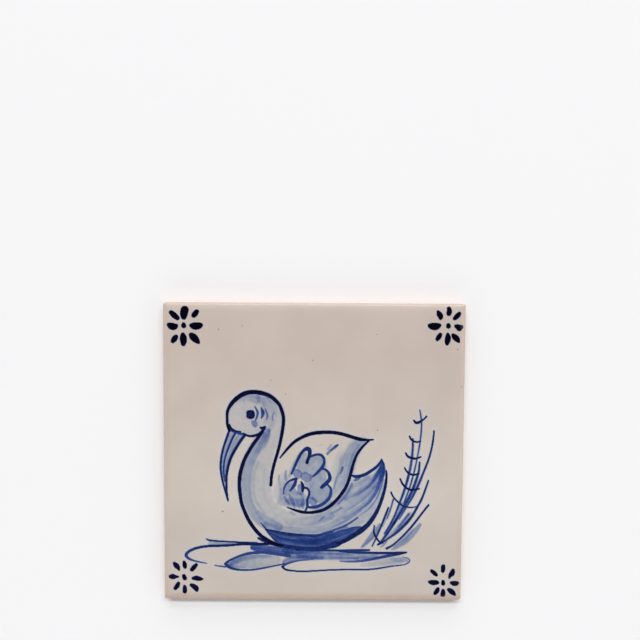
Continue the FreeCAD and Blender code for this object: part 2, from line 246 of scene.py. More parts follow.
BIRD_LINES = [
    # Crown and nape, chin, neck and breast.
    ("line", 5.4, 5.3, (229.3, 430.9, 2.2), (227.5, 425, 2.4), (226.95, 418.6, 2.3), (227.2, 412.3, 2.7),
     (229.3, 407, 3.1), (233.3, 401.6, 3.8), (238.8, 396.8, 4.1), (244.7, 393.6, 4.2), (251, 392.2, 4.1),
     (258.2, 392.5, 4.1), (265.5, 394.2, 3.9), (271.6, 397.2, 3.7), (276.4, 401.4, 3.3),
     (280.1, 406.3, 3), (283.3, 416.5, 3.1), (283.2, 425, 3), (280.9, 439, 2.7), (277.7, 452, 2.7),
     (274.1, 464.1, 2.6), (271.5, 476, 2.7), (270.7, 485.2, 2.4)),
    ("line", 4.8, 4.6, (229.4, 424.7, 1.2), (230.3, 427.7, 2.6), (232.5, 429.8, 2.4), (236, 431.2, 1.4),
     (240.5, 431.8, 1.1)),
    ("line", 3.2, 3.0, (231.4, 430.6, 2), (235.5, 432.3, 2.2), (240, 433.6, 2.2), (244, 434.5, 2)),
    ("line", 4.8, 5.0, (243.6, 433.6, 1.4), (246.4, 435.3, 1.8), (250, 436.1, 2.1), (254.5, 435.7, 2.3),
     (259.1, 434.1, 2.5), (262.3, 431.4, 2.6), (264.4, 427.9, 2.6)),
    ("line", 4.4, 4.8, (260.4, 427.6, 1.4), (262.6, 428.4, 3), (264.8, 427, 2.2)),
    ("line", 5.1, 5.2, (262.3, 432, 2.6), (258, 437.8, 2.9), (253.2, 444.2, 3), (248.7, 451.5, 3.1),
     (244.8, 458.7, 3.2), (242.1, 466, 3.3), (240.2, 473.2, 3.3), (239.3, 480.5, 3.4),
     (239.3, 487.7, 3.4), (240.2, 495.5, 3.3), (241.6, 503.5, 3.2), (244.7, 511.9, 3.2),
     (248.5, 519.9, 3.3), (253.5, 527.5, 3.3), (259.4, 534.3, 3.3), (266.3, 539.4, 3.5),
     (273.1, 543, 3.4), (281, 545.3, 3)),
    # Eye.
    ("line", 4.9, 4.9, (248.6, 412.8, 4.3), (252, 412.6, 4.4), (252.1, 416.4, 4.4), (248.6, 416.5, 4.3),
     (249, 414, 4.3)),
    # Beak.
    ("line", 4.2, 4.4, (228.6, 432.3, 2), (226.4, 438.6, 2), (223.6, 446.8, 1.9), (221.5, 455.9, 1.9),
     (220.6, 464.1, 1.9), (220.9, 472.3, 1.8), (222.3, 480.5, 1.6), (224.4, 488.6, 1.4),
     (226.5, 495.9, 1.3), (227.9, 500.5, 1.4)),
    ("line", 3.8, 2.8, (235.5, 432.7, 2), (232.3, 438.6, 1.9), (229.1, 445.9, 1.8), (226.4, 453.2, 1.7),
     (224.4, 460.5, 1.6), (223.6, 467.7, 1.5), (223.8, 475, 1.4), (224.8, 481.4, 1.2)),
    ("line", 4.5, 4.6, (245, 435, 2.6), (241.4, 439.5, 2.6), (237.3, 445.9, 2.6), (233.5, 452.3, 2.5),
     (230.5, 458.6, 2.5), (228.2, 465.9, 2.3), (226.8, 473.2, 2.1), (226.3, 480.5, 1.9),
     (226.4, 487.7, 1.7), (227, 495, 1.5), (227.8, 500, 1.4)),
    # Wing.
    ("line", 5.3, 5.4, (280, 457.9, 0.8), (283.3, 453.7, 1.5), (288.3, 447.9, 2.1), (294.2, 442.1, 2.6),
     (300.6, 438.1, 2.9), (307.8, 434.8, 3.2), (315.9, 432.9, 3.2), (325, 432.3, 3.3),
     (334.1, 432.6, 3.2), (343.2, 434.3, 3.1), (351.4, 436.8, 3.1), (359.5, 439.2, 3.2),
     (365.9, 440, 2.4), (369.5, 439.9, 1.8), (373.6, 439.7, 0.8)),
    ("line", 5.3, 5.2, (369.1, 440.6, 1.4), (364.9, 444.5, 1.9), (360.7, 449.1, 2.2), (357, 454.5, 2.4),
     (354.1, 461.4, 2.5), (352, 468.6, 2.8), (350.2, 475.5, 2.8), (348, 482.3, 2.8), (345.1, 488.5, 2.9),
     (341.1, 494.4, 2.9), (336.5, 500, 2.9), (330.5, 505.5, 3.1), (323.4, 509.8, 3.1),
     (315.9, 511.8, 2.9), (308.6, 512.5, 2.5), (301.4, 511.8, 2.7), (294.1, 509.8, 1.9),
     (287.3, 507.3, 0.8)),
    # Feathers.
    ("line", 3.4, 4.6, (291.4, 473.8, 1.6), (294.5, 466.8, 2.4), (297.3, 460.5, 2.6), (300.6, 454.2, 2.4),
     (303.8, 450.4, 2.6), (306.8, 448.8, 3.6), (309.2, 449.6, 3.8), (309.7, 452.6, 3.4),
     (309.2, 456.4, 2.9), (307.7, 460, 2.9), (307, 462.6, 3)),
    ("line", 3.8, 3.0, (310.2, 456.8, 1.8), (314.1, 455.2, 2), (318.2, 454.5, 2.2), (321.6, 455.5, 2.4),
     (323.9, 458.6, 2.5), (324.2, 462.3, 2.5), (322.7, 466.4, 2.7), (319.2, 470.7, 2.8),
     (315.6, 474.3, 2.2), (312.6, 476.6, 1.4)),
    ("line", 3.4, 4.2, (321.8, 468.8, 1.6), (325.3, 469.5, 2), (328.2, 472.2, 2.6), (329.7, 476, 3.1),
     (329.5, 479.5, 3.5), (326.8, 482.7, 3.3), (323.6, 485.5, 3.3), (321.5, 487.5, 2.6)),
    ("line", 3.2, 3.4, (327.8, 484.8, 1.4), (330.6, 488.2, 2.2), (330.9, 491.8, 2.5), (330, 496.4, 2.8),
     (326.6, 500.9, 2.9), (321.8, 504.5, 3.1), (315.9, 506.8, 3.1), (310.5, 507.3, 2.6),
     (307.7, 506.9, 1.8)),
    ("line", 2.4, 4.0, (283.4, 494, 1.1), (284, 488.4, 1.4), (286.8, 483.2, 1.7), (291.4, 480, 1.9),
     (296.4, 478.7, 2.2)),
    ("line", 3.9, 3.2, (296, 480, 2.4), (294.4, 484.8, 3.2), (292, 488.4, 2.2), (290, 490.8, 1)),
    ("line", 4.8, 4.4, (301.2, 481.8, 1.2), (302.6, 485, 2.8), (302.9, 488.2, 3), (302.4, 491.6, 1.4)),
    ("line", 4.0, 3.6, (303.6, 487.7, 1.7), (306.8, 488.2, 2), (309, 490.9, 2), (309, 495, 2),
     (307.3, 499.4, 2), (307.2, 503.2, 2.3), (307.2, 506.4, 2.1), (305.5, 510.4, 1.7)),
    # Tail and back of the body.
    ("line", 4.0, 4.4, (351.8, 475.5, 1.4), (355, 476.4, 2.6), (359.5, 476.2, 3), (365, 474.5, 2.8),
     (370.7, 471.1, 2.7), (376.5, 466.9, 2.4), (380.3, 462.3, 1.9), (381.7, 459.2, 1)),
    ("line", 4.6, 4.5, (386.4, 470.5, 1), (386.6, 475.9, 1.9), (385.9, 483.2, 2.4), (384.2, 491.4, 2.7),
     (381.7, 499.6, 2.9), (378.5, 508, 3.2), (374, 516.4, 3.9), (368.2, 524.2, 4.5), (361, 530.5, 4.8),
     (352.8, 536, 4.2), (344.4, 540.8, 3.8), (337, 543.6, 3)),
    ("dry", 4.0, 2.6, (381.9, 460.4, 1.6), (382.8, 464.8, 3.8), (382.8, 470, 5.2), (381.8, 476, 4.6),
     (380, 483, 2.8)),
    ("dry", 3.4, 1.5, (381.2, 465, 2.2), (380, 469.6, 3.6), (377, 474.6, 3.6), (373.2, 480.6, 2.2)),
    ("dry", 2.1, 0.4, (380.2, 470.4, 2.8), (375, 479.4, 2.8), (367.4, 487.4, 2.6), (359.4, 493, 2),
     (350, 497.4, 1.2)),
    ("dry", 2.4, 0.9, (382, 471, 3.4), (379.2, 483.3, 3.4), (374.6, 494.6, 2.8), (366.6, 504.6, 2.4),
     (355.6, 512.4, 2), (344, 519, 1.4)),
    ("dry", 1.5, 0.6, (383.6, 474.5, 1.8), (381, 487, 1.6), (376.6, 498.4, 1.5), (369, 508.6, 1.3),
     (360, 515, 1)),
    ("dry", 0.85, 0.3, (374, 487, 1.6), (366, 497, 1.8), (355, 505, 1.6), (345, 510.6, 1.2)),
    ("dry", 1.1, 0.7, (361, 510.2, 1.4), (346, 520.4, 2), (332.5, 527, 1.6)),
    ("dry", 0.9, 0.9, (352, 484, 2.8), (346.6, 494.4, 3), (338.4, 503.4, 2.4)),
    ("dab", 2.6, 2.4, (358, 517.4, 1), (352.3, 521.3, 1.4), (345.9, 525.2, 1.7), (340, 527.7, 1.7),
     (334, 529.8, 1.7)),
    # The dark underside.
    ("line", 3.6, 3.4, (260.8, 522.8, 0.7), (263.8, 526.4, 1.1), (267.5, 530.8, 1.3), (271.9, 537, 1.3),
     (277.5, 541, 1.6)),
    ("line", 4.2, 3.4, (266, 529.6, 1.8), (273.8, 531, 1.8), (283.8, 532.8, 1.6), (295, 534.3, 1.9),
     (305, 535.2, 2.2), (316, 535.7, 3), (323.8, 533.6, 1.6), (333.8, 530.6, 1)),
    ("dry", 3.0, 2.6, (267.8, 531.4, 3), (273.2, 534.8, 6.6), (281, 538.7, 12), (293, 541, 14),
     (306, 542, 14), (319, 541.8, 13.6), (332, 539.1, 14.6), (344, 535.2, 12.2), (353, 531.3, 9.2),
     (360, 529, 6.2)),
    ("dry", 1.4, 1.3, (322, 533.2, 1.3), (332, 530.6, 2.4), (341, 528.2, 1.8), (348, 527, 1)),
    ("line", 4.2, 4.0, (258.5, 538.2, 2.1), (266, 541.6, 3.1), (275, 544.4, 3.4), (286, 546.3, 3.6),
     (300, 547.8, 3.2), (315, 548.2, 3.2), (329, 546.2, 5), (336.6, 543.9, 5.8), (341.4, 542.5, 3)),
]
WATER = [
    # The ripple left of the bird.
    ("line", 3.9, 4.2, (206.3, 539, 1), (209.3, 540.2, 1.7), (214.7, 540.8, 1.5), (223, 541.3, 1.3),
     (231.3, 541.7, 1.3), (239.7, 542.3, 1.4), (248, 542.7, 1.6), (257, 542.9, 1.6)),
    ("line", 4.6, 4.2, (268.8, 543.8, 2.4), (258, 544, 2.4), (249.7, 544, 2.3), (239.7, 544.3, 2.1),
     (229.7, 545.2, 2.2), (219.7, 545.6, 2.3), (210.5, 545.8, 2.4), (201.3, 546.8, 2.3)),
    ("line", 4.2, 2.2, (201.3, 546.8, 2.3), (194.7, 548.5, 2.3), (189.3, 551, 2.5), (186.3, 553.8, 2.9),
     (186.2, 556, 2.9), (188.4, 558.3, 2.4), (193, 560.4, 1.7), (198.8, 561.8, 1.3), (206.3, 563.2, 0.8)),
    ("wash", 0.5, 1.3, (210, 543.2, 3), (226, 543.3, 2.4), (240, 543.4, 1.8), (250, 543.4, 1.6)),
    # The ripple under the breast.
    ("line", 2.2, 2.8, (214.7, 565.3, 0.8), (219.7, 566, 1.2), (225.5, 566.7, 1.3)),
    ("line", 3.6, 3.0, (225.5, 563.8, 2.6), (228, 566.3, 2.8), (232.2, 568.3, 2.3), (238, 569.6, 1.7),
     (244.7, 570, 1.5), (253, 569.6, 1.4), (261.3, 568.3, 1.4), (269.7, 566.7, 1.3), (278, 565, 1.2),
     (284.5, 563.6, 1.3)),
    ("line", 3.3, 2.6, (225.7, 563.4, 2.4), (228.8, 560.8, 2), (233.8, 558.3, 1.8), (240.5, 555.6, 2),
     (248, 553.5, 2.6), (256.3, 552.5, 2.8), (264.7, 552.3, 3), (273, 553.2, 3.2), (281.3, 554.5, 3.2),
     (289.6, 555.7, 2.4)),
    ("wash", 0.85, 0.45, (230, 564, 4.4), (235.4, 561.6, 5.4), (243, 558.4, 5), (254, 556.4, 4),
     (270, 556, 3.4)),
    ("wash", 0.7, 0.15, (230, 565.4, 3), (237, 567.2, 3), (246, 567.6, 2.4)),
    ("ground", 0.5, 0.32, (234, 564.4, 8), (246, 562.4, 12), (260, 561.4, 14), (276, 560, 9)),
    # The ripples under the body and the tail.
    ("quill", 4.4, 3.0, (282.5, 566.9, 2.2), (285.6, 569.4, 1.9), (292.5, 570.6, 1.6),
     (302.5, 571.3, 1.6), (315, 570.7, 1.5), (331.3, 569.8, 1.5), (346, 569.5, 1.5), (361.3, 569.5, 1.7),
     (370, 569.2, 1.6), (380, 568, 1.5), (390, 566.3, 1.4), (399.3, 565.2, 1.2), (405.3, 564.2, 1),
     (409, 562, 0.9), (409.7, 559.8, 0.8), (407.5, 557.9, 0.6), (402.5, 556.8, 0.5)),
    ("line", 3.2, 1.2, (282.5, 566.3, 1.9), (286.9, 563.8, 1.6), (292.5, 561.9, 1.4), (298.8, 560.4, 1.3),
     (306.3, 559.8, 1.1), (313.8, 559.6, 0.7)),
    ("line", 3.8, 3.8, (296, 549.6, 2.2), (315, 550.1, 2.2), (332, 550.3, 1.9), (345, 550.4, 2.1),
     (358, 550.2, 2.2), (369.3, 549.9, 1.7)),
    ("line", 3.4, 4.6, (339, 551.2, 1), (349, 551.9, 2), (361, 552.5, 2.3), (375, 552.8, 2.2),
     (388, 552.9, 2.2), (398, 552.6, 2), (406.8, 552.2, 1)),
    ("line", 4.0, 1.6, (405.6, 552.8, 0.9), (398, 554.2, 2), (388.7, 555.7, 2.5), (377, 558, 2.6),
     (367.3, 559.8, 2.6), (360, 560.9, 2.2), (350, 561.4, 1.7), (340, 561.1, 1)),
    ("wash", 0.3, 0.6, (388, 554.6, 2), (374, 556.2, 3), (364, 557.6, 3.6), (354, 558.4, 3)),
    ("ground", 1.2, 0.55, (300, 554, 8), (312, 555, 8.4), (324, 555.6, 8.4), (338, 555.8, 8.4),
     (352, 556, 8), (364, 556, 6.4), (376, 555.4, 3)),
    ("wash", 0.45, 0.6, (392, 558.8, 4), (401, 559.5, 5.4), (406.5, 560.3, 4.5)),
    ("wash", 0.3, 0.45, (361, 565.4, 2.4), (374, 563.4, 5.6), (388, 561.6, 7), (401, 561, 5)),
    # The body's shade on the water.
    ("dry", 2.2, 2.4, (252.4, 547.6, 4.8), (262, 548.6, 6.8), (274, 549.8, 7.2), (286, 551.6, 7.4)),
    ("dry", 3.0, 1.2, (284, 550.6, 4.8), (294, 551.2, 6.6), (303, 551.4, 4.6), (312, 551.4, 3),
     (320, 551.4, 1.8)),
    ("wash", 1.0, 0.2, (286, 555, 5), (296, 555.4, 6), (308, 554.4, 4.6), (320, 553.6, 3)),
    ("dry", 1.1, 0.8, (318, 553, 1.6), (332, 553.6, 2), (348, 554, 1.6)),
    ("dry", 0.8, 1.6, (330, 557.6, 1.2), (344, 557.9, 1.8), (358, 558, 2)),
    ("wash", 1.1, 0.9, (284.6, 561.5, 4.6), (291, 559, 6.4), (300, 558, 5.4), (311, 557.8, 4.4),
     (322, 557.6, 3.4)),
    ("dab", 1.2, 1.2, (250.4, 545.2, 1), (252, 548, 1.4), (254.6, 550.9, 1)),
]
REEDS = [
    # Washes between the blades.
    ("wash", 0.8, 0.8, (420.2, 524.6, 3.2), (413.2, 533.4, 5.6), (405.6, 541, 5.6), (396.8, 546.8, 3.6),
     (392, 549.2, 1.8)),
    ("wash", 0.6, 0.6, (410.4, 513, 2.2), (404.8, 521, 5.2), (397.2, 529.6, 6), (387.8, 537.6, 4)),
    ("dab", 0.7, 0.8, (414.2, 528.6, 1.2), (407.2, 536, 2.4), (399.6, 542.2, 1.8), (393.4, 546.6, 1)),
    ("wash", 2.6, 0.4, (408.7, 513.9, 2), (402.8, 521.8, 2.4), (397.2, 529, 2.6), (393.9, 532.6, 2)),
    ("wash", 1.2, 1.3, (380, 525.4, 4), (375.4, 532, 5.6), (368.6, 540, 4.6), (362.2, 546.7, 2)),
    ("wash", 0.9, 0.6, (386.6, 541, 1.8), (383.8, 544.4, 2.2), (380.8, 547, 1.4)),
    ("wash", 1.0, 1.0, (401.4, 505, 5), (396.4, 516.7, 4.6), (389.6, 528.5, 3.6), (384.4, 537, 2.4)),
    ("wash", 0.7, 0.6, (390.2, 508.5, 1.4), (386.4, 517.8, 1.6), (382.6, 526, 1.6)),
    # Stems.
    ("dry", 3.2, 3.0, (420, 410, 1), (421.1, 416.7, 1.3), (421.7, 424.4, 1.4), (421.3, 432.2, 1.3),
     (420.3, 441.1, 1.3), (418.9, 450, 1.3), (417.2, 458.9, 1.2), (415, 468.9, 1.2), (412.4, 478.9, 1.3),
     (409.7, 487.8, 1.4), (406.7, 495.6, 1.4), (403.9, 503.3, 1.4)),
    ("dry", 3.6, 3.0, (413, 438.9, 1.3), (412.8, 448.9, 1.9), (411.7, 460, 2.1), (409.7, 471.1, 2.3),
     (406.9, 482.2, 2.3), (403.8, 492.2, 2.2), (400.6, 500.6, 2), (397.7, 508, 1.7), (394.2, 516.6, 1.6),
     (389.6, 525.6, 1.6), (384.6, 533.4, 1.4)),
    ("dry", 3.7, 3.2, (419.7, 462.2, 1.4), (418.9, 471.1, 1.9), (416.7, 478.9, 2.3), (413.5, 487.8, 2.6),
     (410, 495.6, 2.7), (405.8, 503.3, 2.8), (401.3, 511, 2.8), (396.2, 519.8, 2.6), (390.6, 528.6, 2.3),
     (385.4, 536, 2.2), (381.8, 540.8, 2)),
    # Blades.
    ("quill", 4.6, 2.4, (434.2, 431.1, 1.5), (433.1, 441.1, 1.7), (431.1, 451.1, 1.8),
     (428.1, 461.1, 1.9), (424.1, 471.1, 2), (420.5, 480, 2.4), (416.5, 488.9, 2.5), (412, 497.8, 2.2),
     (406.4, 507, 1.9), (401.7, 515, 1.5), (399.3, 519, 1.1)),
    ("quill", 4.4, 3.6, (428.6, 480.6, 1.5), (425.6, 488.9, 1.7), (421.9, 498.6, 2), (417.6, 506.6, 2.2),
     (412, 516.2, 2.6), (405, 524.6, 2.7), (397.2, 532, 2.3), (389, 537.9, 1.9), (381.7, 542.6, 1.7)),
    ("quill", 4.4, 3.9, (428.6, 505, 1.7), (422.7, 512.4, 1.8), (416.6, 520.4, 1.9), (409.4, 529.2, 1.9),
     (400.7, 538.1, 1.8), (392.6, 545.1, 1.7), (386.6, 548.4, 2.2)),
    ("quill", 4.5, 3.6, (388.4, 507.8, 1.6), (384.8, 516.9, 1.9), (380.4, 527.9, 1.8),
     (376.1, 537.8, 1.4), (372.2, 546.1, 1.2)),
    ("dab", 3.0, 1.4, (393.4, 499.4, 1.5), (390.8, 508.4, 1.4), (387.2, 518.6, 1.3)),
    ("quill", 4.4, 4.4, (374.4, 525.6, 1.3), (373.9, 532.2, 1.7), (376.1, 537.2, 1.9),
     (378.9, 541.1, 1.7), (382.8, 542.8, 1.6)),
    ("quill", 4.4, 4.2, (377.8, 544.6, 1.7), (379.8, 543.4, 2.3), (382.4, 542, 2)),
    # Short leaves across the stems.
    ("quill", 4.9, 4.8, (413.9, 420.3, 1.4), (415.6, 422.4, 2.6), (417.8, 422.8, 2.6),
     (420.6, 421.5, 2.2), (423.9, 419.2, 1.4), (426.7, 416.4, 1.4)),
    ("quill", 5.0, 4.6, (409.7, 436.3, 1.4), (411.1, 439.2, 1.9), (413.9, 441.2, 1.8), (417.2, 442, 1.5),
     (420.6, 441.3, 1.2)),
    ("quill", 5.0, 4.6, (405.9, 453.1, 1.5), (407.8, 456.2, 2.1), (411.7, 458, 2.3), (416.1, 458.5, 2),
     (420.8, 456.9, 1.5)),
    ("quill", 5.0, 4.6, (404.8, 468, 1.4), (406.7, 471.1, 1.7), (410, 473.7, 1.8), (413.9, 474.8, 1.8),
     (418.9, 473.6, 1.6)),
    ("quill", 5.0, 4.6, (400.3, 478.9, 1.4), (402.2, 483.1, 1.9), (406.1, 487.6, 2), (411.7, 489.8, 2.1),
     (419.4, 488.7, 1.5)),
    ("quill", 4.9, 3.8, (391.1, 492.2, 1.4), (393.3, 496.7, 1.5), (398.3, 502.2, 1.6),
     (403.9, 506.1, 1.5), (410.6, 507.4, 1.2), (417.2, 506.4, 0.9)),
]
STROKES = BIRD_WASHES + WATER + REEDS + BIRD_LINES + CORNER_FLOWERS

# Pinholes and stray specks in the glaze: pixels across and down, and their width in pixels. Each is
# darkest in its core and fades out, at these shares of its width.
SPECKS = [
    (218.4, 329.6, 1.3), (242.2, 325.8, 1.0), (376.9, 334.6, 1.0), (313, 360.5, 1.2), (270.4, 380.5, 1.0),
    (285.7, 394, 1.1), (222.6, 511.4, 1.6), (377.6, 430.2, 1.4), (457.9, 349.6, 1.4), (462, 387, 1.2),
]
SPECK_CORE = 0.2
SPECK_ENDS = 0.7
SPECK = (104, 90, 80)

# Paint amounts and the colours they give on this glaze, as sRGB.
PAINT_COLOURS = [
    (0.0, (208, 198, 189)),
    (0.06, (207, 201, 196)),
    (0.14, (195, 191, 190)),
    (0.25, (184, 183, 186)),
    (0.56, (156, 163, 177)),
    (0.9, (135, 146, 173)),
    (1.3, (111, 124, 163)),
    (2.0, (78, 97, 153)),
    (2.75, (50, 71, 134)),
    (3.2, (40, 63, 124)),
    (3.8, (30, 50, 108)),
    (4.3, (23, 38, 86)),
    (4.8, (16, 23, 60)),
    (5.4, (9, 9, 28)),
    (6.2, (4, 3, 10)),
]
MOST_PAINT = PAINT_COLOURS[-1][0]

# The mesh. The face's net has a finest pitch in millimetres. Each closer level is given as fine
# steps with the change in the face's look that calls for it, in which a speck counts by half. The
# rolled edge, and the margin inside it in millimetres, have steps of their own.
NET_PITCH = 0.25
NET_LEVELS = [(1, 0.12), (2, 0.045), (4, 0.02)]
NET_COARSE = 8
NET_CUSHION = 2
NET_MARGIN = 0.5
SPECK_LOOK = 0.5
RING_STEPS = 90
CORNER_STEPS = 5
NOSE_STEPS = 6
SIDE_STEPS = 5
SHARP_ANGLE = math.radians(32)
# How the flat patches are cut in triangles: only what lies inside their outline, with points nearer
# than this, in millimetres, taken for one.
CUT_INSIDE = 1
CUT_NEAR = 1e-6

# The bake's map, as shares of its side: the face, the rim's four strips and the back.
MAP_MARGIN = 0.004
FACE_ON_MAP = 0.79
STRIP_ON_MAP = 0.046
BACK_ON_MAP = 0.19

# Painted shade: the glaze is multiplied darker towards the top of the face and a little darker at its
# bottom, and it is lightest a little below the middle. The rows give shares of the way from the bottom of
# the face to its top, which is slow at both ends, and the colour that the glaze is multiplied by.
GLAZE_PAINTED_SHADE = [
    (0.07, (249, 248, 248)),
    (0.27, (255, 255, 255)),
    (0.5, (252, 251, 250)),
    (0.77, (249, 246, 246)),
    (0.93, (248, 243, 243)),
]

# Where the glaze thins towards the side and shows the clay, in millimetres from it, how much it does along
# each side, its colour there, and the paint that hides it. The amounts by side and the colour's darkness
# are partly painted shade: the tan is darkest along the bottom side, weaker on the left and right, and
# faint along the top.
THIN_FROM = 0.9
THIN_TO = 3.4
THIN_AND_SHADE_SIDES = [((-1, 0), 0.42), ((1, 0), 0.32), ((0, -1), 1.0), ((0, 1), 0.1)]
THIN_GLAZE_AND_SHADE = (190, 163, 143)
THIN_HIDDEN_BY = 0.8

# Noises of the surfaces: scale per metre, detail and roughness.
PAINT_GRAIN = (900, 3, 0.5)
GLAZE_MOTTLE = (45, 3, 0.5)
THIN_PATCHES = (220, 3, 0.5)
GLAZE_RIPPLES = (110, 1, 0.5)
GLAZE_LINE = (160, 3, 0.5)
CLAY_GRAIN = (600, 6, 0.65)
CLAY_PORES = (1600, 4, 0.6)
# Where the values of a noise mostly begin and end, and what they come to between the two.
NOISE_LOW = 0.3
NOISE_HIGH = 0.7
GRAIN_RANGE = (0.94, 1.06)
THIN_RANGE = (0.75, 1)
MOTTLE_COLOURS = [(NOISE_LOW, (248, 247, 246)), (NOISE_HIGH, (255, 255, 255))]
CLAY_COLOURS = [(NOISE_LOW, (188, 153, 129)), (0.5, (205, 173, 149)), (NOISE_HIGH, (218, 191, 169))]
# The level on the side where the glaze stops, how far that line wanders and how soft it is.
GLAZE_STOPS = 5.2 * MM
LINE_WANDERS = 0.8 * MM
LINE_SOFT = 0.3 * MM
# Gloss and relief.
GLAZE_ROUGHNESS = 0.17
CLAY_ROUGHNESS = 0.85
RIPPLE_HEIGHT = 0.03 * MM
PORE_DEPTH = 0.25 * MM

# The floor: half its side in metres, and its surface.
FLOOR_REACH = 1.9
FLOOR_COLOUR = (0.9, 0.9, 0.91, 1)
FLOOR_ROUGHNESS = 0.9
FLOOR_SPECULAR = 0.1

# Light panels: place, width and depth in metres, power in watts, and whether the glaze mirrors them.
LIGHTS = [
    ("key", (0.2, 3.5, 5.45), 5.8, 0.7, 262, False),
    ("edge", (0.1, 4.75, 4.35), 3.0, 1.1, 66, True),
    ("back", (0.0, 3.0, 1.3), 4.0, 1.0, 24, True),
    ("front", (0.0, -1.1, 0.6), 1.8, 0.6, 4, True),
    ("left_fill", (-2.4, -0.4, 2.1), 1.6, 1.6, 8, True),
    ("right_fill", (2.4, -0.2, 2.1), 1.6, 1.6, 10, True),
]
# The walls' brightness by the sine of the angle above the floor.
WALLS = [(0.0, 0.9), (0.35, 0.42), (0.7, 0.12), (0.84, 0.03), (1.0, 0.01)]


def homography(source, target):
    """The matrix that takes four points of one plane to four points of another."""
    rows = []
    values = []
    for (x, y), (u, v) in zip(source, target):
        rows.append([x, y, 1, 0, 0, 0, -u * x, -u * y])
        rows.append([0, 0, 0, x, y, 1, -v * x, -v * y])
        values += [u, v]
    entries = np.linalg.solve(np.array(rows), np.array(values))
    return np.append(entries, 1).reshape(3, 3)


PHOTO_TO_TILE = homography(PHOTO_CORNERS, TILE_CORNERS)
PIXEL = 2 * HALF_SIDE / (PHOTO_CORNERS[1][0] - PHOTO_CORNERS[0][0])


def on_tile(pixels):
    """Places in the photograph as millimetres on the tile's face."""
    mapped = np.c_[pixels, np.ones(len(pixels))] @ PHOTO_TO_TILE.T
    return mapped[:, :2] / mapped[:, 2:]


def smoothstep(low, high, value):
    """0 below low, 1 above high, and a smooth rise between."""
    share = np.clip((value - low) / (high - low), 0, 1)
    return share * share * (3 - 2 * share)


def between(table, row, column):
    """A table's values read smoothly between its rows and columns."""
    short_of_end = 1.001
    row = np.clip(row, 0, table.shape[0] - short_of_end)
    column = np.clip(column, 0, table.shape[1] - short_of_end)
    r = row.astype(int)
    c = column.astype(int)
    u = smoothstep(0, 1, row - r)
    v = smoothstep(0, 1, column - c)
    first = table[r, c] * (1 - v) + table[r, c + 1] * v
    second = table[r + 1, c] * (1 - v) + table[r + 1, c + 1] * v
    return first * (1 - u) + second * u


def linear(colour):
    """An sRGB colour of 0 to 255 as linear light."""
    share = np.array(colour) / 255
    return tuple(np.where(share <= 0.04045, share / 12.92, ((share + 0.055) / 1.055) ** 2.4))


